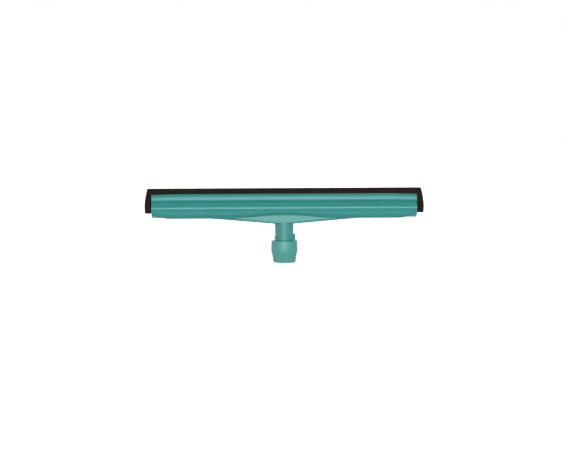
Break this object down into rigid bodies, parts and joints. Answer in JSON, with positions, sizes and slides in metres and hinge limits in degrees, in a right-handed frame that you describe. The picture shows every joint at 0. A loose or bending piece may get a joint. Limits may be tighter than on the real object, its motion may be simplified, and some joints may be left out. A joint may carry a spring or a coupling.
{
  "type": "squeegee head",
  "caption": "Wide squeegee head with a foam rubber blade in a two-roll plastic frame, and a neck with a fluted nut that clamps a tubular handle.",
  "frame": {"origin": "centre of the nut's lower end face, where the handle goes in; the head stands on this face with its blade up", "axes": "+X along the blade, to the right seen from the front; +Z from the handle to the blade's tip; the front is at -Y"},
  "size_m": [0.45, 0.0422, 0.1198],
  "materials": {
    "frame_plastic": "satin-gloss moulded polypropylene, teal",
    "nut_plastic": "fluted, finely textured moulded polypropylene, a greener teal",
    "ring_plastic": "natural acetal",
    "foam_rubber": "black-brown cellular rubber with cut faces",
    "screw_steel": "bright zinc plate"
  },
  "bodies": {
    "frame": {"carrier": "frame_plastic", "front_cover": "frame_plastic", "rear_cover": "frame_plastic", "front_blade": "foam_rubber", "rear_blade": "foam_rubber", "cover_screw_1": "screw_steel", "cover_screw_2": "screw_steel", "cover_screw_3": "screw_steel", "cover_screw_4": "screw_steel", "cover_screw_5": "screw_steel", "cover_screw_6": "screw_steel"},
    "ring": {"clamp_ring": "ring_plastic"},
    "nut": {"lock_nut": "nut_plastic"}
  },
  "joints": [
    {"name": "nut_travel", "type": "slide", "parent": "frame", "child": "ring", "axis": [0, 0, -1], "range_m": [0, 0.00905]},
    {"name": "nut_turn", "type": "hinge", "parent": "ring", "child": "nut", "pos_m": [0, 0, 0.018], "axis": [0, 0, -1], "range_deg": [0, 540]}
  ],
  "couplings": [
    {"joint": "nut_travel", "follows": "nut_turn", "m_per_rad": 0.00095493}
  ]
}
